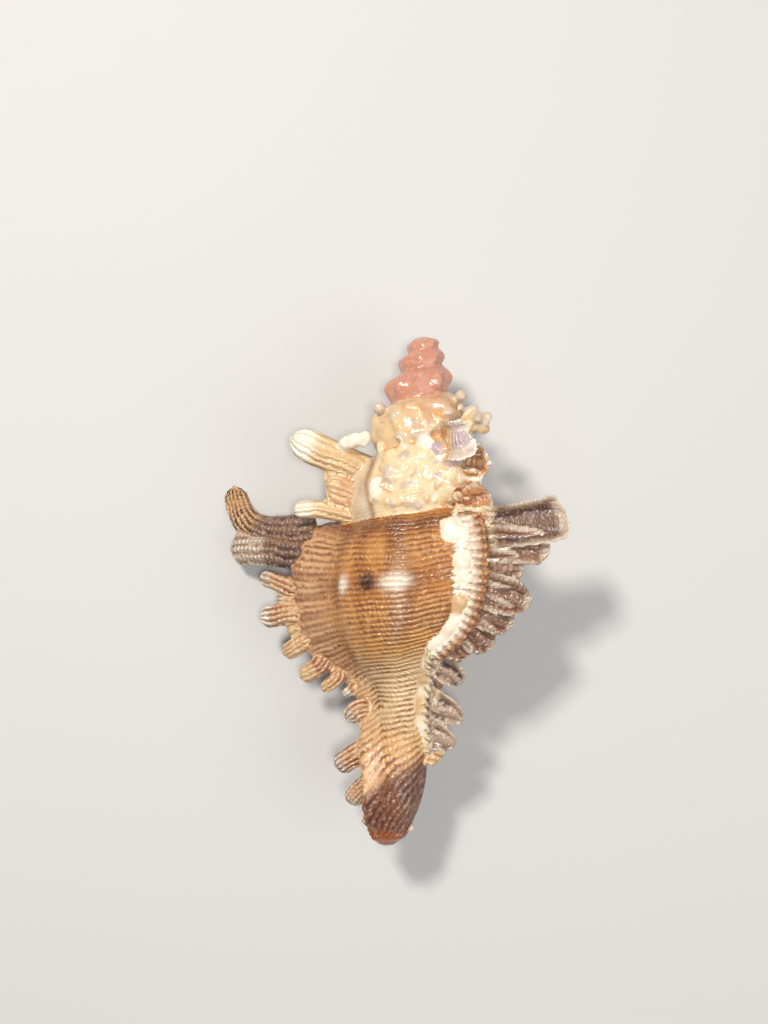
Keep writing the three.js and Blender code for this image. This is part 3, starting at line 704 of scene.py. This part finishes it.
def canal_slot():
    t = np.linspace(0, 1, 40)[:, None]
    y = SLOT_TOP - SLOT_LENGTH * t
    a = np.linspace(0, 2 * np.pi, 24, endpoint=False)[None]
    r = SLOT_RADIUS + SLOT_DEPTH * np.sin(a)
    wander = math.radians(SLOT_ANGLE) + (SLOT_HALF_WIDTH * np.cos(a) + 0.06 * np.sin(9 * t)) / SLOT_RADIUS
    points, faces = tube(place(r + 0 * t, wander, y + 0 * a))
    return Skin(points, faces, CREAM, TAN, np.zeros(3))


# ---------------------------------------------------------------- one fused shell
def mesh_object(name, points, faces):
    mesh = bpy.data.meshes.new(name)
    mesh.from_pydata([tuple(p) for p in points], [], [tuple(f) for f in faces])
    mesh.validate()
    piece = bpy.data.objects.new(name, mesh)
    bpy.context.scene.collection.objects.link(piece)
    return piece


def only(piece):
    bpy.ops.object.select_all(action="DESELECT")
    piece.select_set(True)
    bpy.context.view_layer.objects.active = piece


def apply(piece, kind, **settings):
    only(piece)
    modifier = piece.modifiers.new(kind.title(), kind)
    for key, value in settings.items():
        setattr(modifier, key, value)
    bpy.ops.object.modifier_apply(modifier=modifier.name)


def face_outwards(piece):
    only(piece)
    bpy.ops.object.mode_set(mode="EDIT")
    bpy.ops.mesh.select_all(action="SELECT")
    bpy.ops.mesh.normals_make_consistent(inside=False)
    bpy.ops.object.mode_set(mode="OBJECT")


def stack(skins):
    """The points, the faces and the columns of paint of several skins, one after another."""
    points, faces, start = [], [], 0
    for skin in skins:
        points.append(skin.points)
        faces += [tuple(start + i for i in face) for face in skin.faces]
        start += len(skin.points)
    columns = [
        np.concatenate([getattr(skin, key) for skin in skins])
        for key in ("crest", "groove", "lines", "beads")]
    return np.concatenate(points), faces, columns


def vertex_places(mesh):
    flat = np.empty(len(mesh.vertices) * 3)
    mesh.vertices.foreach_get("co", flat)
    return flat.reshape(-1, 3)


def nearest_paint(places, points, faces, columns):
    """The paint of the nearest point on the skins, for each place."""
    triangles = []
    for face in faces:
        triangles.append(face[:3])
        if len(face) == 4:
            triangles.append((face[0], face[2], face[3]))
    tree = BVHTree.FromPolygons([tuple(p) for p in points], triangles)
    found = [tree.find_nearest(Vector(p)) for p in places]
    corners = np.array([triangles[f[2]] for f in found])
    at = np.array([tuple(f[0]) for f in found])
    a, b, c = (points[corners[:, k]] for k in range(3))
    v0, v1, v2 = b - a, c - a, at - a
    d00, d01, d11 = (v0 * v0).sum(1), (v0 * v1).sum(1), (v1 * v1).sum(1)
    d20, d21 = (v2 * v0).sum(1), (v2 * v1).sum(1)
    area = np.maximum(d00 * d11 - d01 * d01, 1e-12)
    v, w = (d11 * d20 - d01 * d21) / area, (d00 * d21 - d01 * d20) / area
    share = np.clip(np.stack([1 - v - w, v, w], axis=-1), 0, 1)
    share /= share.sum(1, keepdims=True)
    return [sum(share[:, k, None] * column[corners[:, k]] for k in range(3)) for column in columns]


solid_skins = [whorls(), varix_ridge()]
solid_skins += lip_fronds() + back_fronds() + front_fronds() + spire_fronds() + webs() + beads()
hollow_skins = [mouth(), canal_slot()]

points, faces, _ = stack(solid_skins)
shell = mesh_object("murex_shell", points, faces)
apply(shell, "REMESH", mode="VOXEL", voxel_size=GRAIN)
apply(shell, "SMOOTH", factor=0.5, iterations=2)
for index, skin in enumerate(hollow_skins):
    cutter = mesh_object(f"cutter_{index}", skin.points, skin.faces)
    face_outwards(cutter)
    apply(shell, "BOOLEAN", operation="DIFFERENCE", object=cutter, solver="MANIFOLD")
    bpy.data.objects.remove(cutter)

places = vertex_places(shell.data)
crest, groove, lines, beading = nearest_paint(places, *stack(solid_skins + hollow_skins))

# fine lines end where one surface grows out of another
edges = np.empty(len(shell.data.edges) * 2, dtype=np.int64)
shell.data.edges.foreach_get("vertices", edges)
edges = edges.reshape(-1, 2)
seam = edges[np.abs(lines[edges[:, 0], 0] - lines[edges[:, 1], 0]) > SEAM_JUMP].ravel()
lines[seam, 2] = 0
beading[seam] = 0

for name, kind, values in (
    ("crest_paint", "FLOAT_COLOR", np.concatenate([crest, np.ones((len(crest), 1))], axis=1)),
    ("groove_paint", "FLOAT_COLOR", np.concatenate([groove, np.ones((len(groove), 1))], axis=1)),
    ("lines", "FLOAT_VECTOR", lines),
    ("beading", "FLOAT", beading),
):
    layer = shell.data.attributes.new(name, kind, "POINT")
    holds = {"FLOAT_COLOR": "color", "FLOAT_VECTOR": "vector", "FLOAT": "value"}[kind]
    layer.data.foreach_set(holds, values.ravel())

# into the frame: leaning, on the surface it lies on, in metres
lean = math.radians(AXIS_LEAN)
x, y, z = places.T
z = np.maximum(z, -AXIS_HEIGHT)
placed = np.stack([
    x * math.cos(lean) - y * math.sin(lean) + AXIS_PLACE[0],
    x * math.sin(lean) + y * math.cos(lean) + AXIS_PLACE[1],
    z + AXIS_HEIGHT,
], axis=-1) / MM_PER_M
shell.data.vertices.foreach_set("co", placed.ravel())
shell.data.update()
shell.data.shade_smooth()
print("shell triangles:", sum(len(p.vertices) - 2 for p in shell.data.polygons))


# ---------------------------------------------------------------- finishes
class Value:
    """A number in a material's nodes. Arithmetic on it adds Math nodes."""

    def __init__(self, sheet, socket):
        self.sheet = sheet
        self.socket = socket

    def _math(self, operation, *others):
        inputs = {i: (v.socket if isinstance(v, Value) else v) for i, v in enumerate(others)}
        return self.sheet.node("ShaderNodeMath", {"operation": operation}, inputs)

    def __add__(self, other):
        return self._math("ADD", self, other)

    def __radd__(self, other):
        return self._math("ADD", other, self)

    def __sub__(self, other):
        return self._math("SUBTRACT", self, other)

    def __rsub__(self, other):
        return self._math("SUBTRACT", other, self)

    def __mul__(self, other):
        return self._math("MULTIPLY", self, other)

    def __rmul__(self, other):
        return self._math("MULTIPLY", other, self)

    def __truediv__(self, other):
        return self._math("DIVIDE", self, other)

    def cosine(self):
        return self._math("COSINE", self)

    def between(self, low, high):
        """0 below low, 1 above high, and smooth from one to the other."""
        return self.sheet.node("ShaderNodeMapRange", {"interpolation_type": "SMOOTHSTEP"},
                               {"Value": self, "From Min": low, "From Max": high})


class Sheet:
    """The nodes of one material."""

    def __init__(self, name):
        self.material = bpy.data.materials.new(name)
        self.material.use_nodes = True
        self.tree = self.material.node_tree
        self.tree.nodes.clear()

    def node(self, kind, settings, inputs, output=0):
        node = self.tree.nodes.new(kind)
        for key, value in settings.items():
            setattr(node, key, value)
        for key, value in inputs.items():
            value = value.socket if isinstance(value, Value) else value
            if isinstance(value, bpy.types.NodeSocket):
                self.tree.links.new(value, node.inputs[key])
            else:
                node.inputs[key].default_value = value
        return Value(self, node.outputs[output])

    def finish_with(self, shader):
        self.tree.links.new(shader.socket, self.tree.nodes.new("ShaderNodeOutputMaterial").inputs["Surface"])

    def mix(self, factor, low, high):
        """The colour that goes from low to high with factor. Sockets 6 and 7 are a Mix node's colours."""
        return self.node("ShaderNodeMix", {"data_type": "RGBA"}, {0: factor, 6: low, 7: high}, 2)

    def noise(self, at, scale, detail=2.0):
        return self.node("ShaderNodeTexNoise", {}, {"Vector": at, "Scale": scale, "Detail": detail})


WORN_PALE = (0.86, 0.76, 0.6, 1)
BUMP_HEIGHT = 0.0001  # in metres


def shell_finish():
    """Ribbed lime: crest paint with darker grooves, worn pale and stained in patches, under fine beads."""
    m = Sheet("ribbed_shell")
    here = m.node("ShaderNodeTexCoord", {}, {}, "Object")
    crest = m.node("ShaderNodeAttribute", {"attribute_name": "crest_paint"}, {}, "Color")
    groove = m.node("ShaderNodeAttribute", {"attribute_name": "groove_paint"}, {}, "Color")
    lines = m.node("ShaderNodeAttribute", {"attribute_name": "lines"}, {}, "Vector")
    number = m.node("ShaderNodeSeparateXYZ", {}, {0: lines}, "X")
    distance = m.node("ShaderNodeSeparateXYZ", {}, {0: lines}, "Y")
    depth = m.node("ShaderNodeSeparateXYZ", {}, {0: lines}, "Z")
    beading = m.node("ShaderNodeAttribute", {"attribute_name": "beading"}, {}, "Fac")
    blotches = m.noise(here, 700.0)
    grain = m.noise(here, 4200.0, 3.0)
    crumbs = m.noise(here, 14000.0, 2.0)
    wobble = (blotches - 0.5) * 1.3 + (grain - 0.5) * 0.6
    ridge = ((number + wobble) * math.tau).cosine() * 0.5 + 0.5
    pearl = ((distance / BEAD + blotches * 1.5) * math.tau).cosine() * 0.5 + 0.5
    pearls = ridge * pearl * beading * depth
    patchy = (blotches * 1.5 + grain * 0.8).between(0.8, 1.5)
    dark = (1 - ridge).between(0.3, 1.0) * depth * (0.2 + 0.8 * patchy)
    dark = dark + (1 - pearl) * beading * 0.25 * depth
    colour = m.mix(dark.between(0.0, 1.0), crest, groove)
    stain = grain.between(0.5, 0.7) * blotches.between(0.48, 0.62) * 0.5
    colour = m.mix(stain, colour, groove)
    pale = (1 - grain).between(0.52, 0.7) * 0.3 + pearls * 0.25
    colour = m.mix(pale, colour, m.mix(0.5, crest, WORN_PALE))
    height = ridge * depth * 0.6 + pearls * 0.8 + grain * 0.25 + crumbs * 0.06
    bump = m.node("ShaderNodeBump", {}, {"Height": height, "Distance": BUMP_HEIGHT, "Strength": 1.0})
    shader = m.node("ShaderNodeBsdfPrincipled", {}, {
        "Base Color": colour,
        "Roughness": 0.1 + 0.2 * dark + 0.14 * grain,
        "IOR": 1.6,
        "Subsurface Weight": 0.12,
        "Subsurface Radius": (1.0, 0.55, 0.3),
        "Subsurface Scale": 0.0006,
        "Normal": bump,
    })
    m.finish_with(shader)
    return m.material


shell.data.materials.clear()
shell.data.materials.append(shell_finish())
shell.data.polygons.foreach_set("material_index", [0] * len(shell.data.polygons))
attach(shell, "root")
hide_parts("shell")


# ---------------------------------------------------------------- floor, light and camera
def floor():
    bpy.ops.mesh.primitive_plane_add(size=2)
    plane = bpy.context.active_object
    plane.name = "floor"
    m = Sheet("pale_floor")
    shader = m.node("ShaderNodeBsdfPrincipled", {}, {"Base Color": (0.56, 0.55, 0.53, 1), "Roughness": 0.8})
    m.finish_with(shader)
    plane.data.materials.append(m.material)


def softbox(name, place_mm, size_mm, watts, colour=(1, 1, 1)):
    data = bpy.data.lights.new(name, "AREA")
    data.size = size_mm / MM_PER_M
    data.energy = watts
    data.color = colour
    lamp = bpy.data.objects.new(name, data)
    lamp.location = Vector(place_mm) / MM_PER_M
    lamp.rotation_euler = (-lamp.location).to_track_quat("-Z", "Y").to_euler()
    bpy.context.scene.collection.objects.link(lamp)


def camera():
    view_height = 56.3  # millimetres that the view spans, top to bottom, at the coiling axis
    distance = 90
    middle = (-0.23, 4.37)
    sensor = 36
    data = bpy.data.cameras.new("camera")
    data.sensor_width = sensor
    data.lens = sensor * distance / view_height
    data.clip_start = 0.001
    eye = bpy.data.objects.new("camera", data)
    eye.location = Vector((middle[0], middle[1], AXIS_HEIGHT + distance)) / MM_PER_M
    bpy.context.scene.collection.objects.link(eye)
    bpy.context.scene.camera = eye


def world():
    sky = bpy.data.worlds.new("studio")
    sky.use_nodes = True
    background = sky.node_tree.nodes["Background"]
    background.inputs["Color"].default_value = (0.9, 0.93, 1.0, 1)
    background.inputs["Strength"].default_value = 0.25
    bpy.context.scene.world = sky
    bpy.context.scene.view_settings.view_transform = "Standard"


floor()
softbox("key", (-60, 90, 160), 26, 0.3, (1, 0.96, 0.9))
softbox("fill", (110, -40, 120), 110, 0.07)
softbox("top", (10, 0, 190), 24, 0.14)
camera()
world()
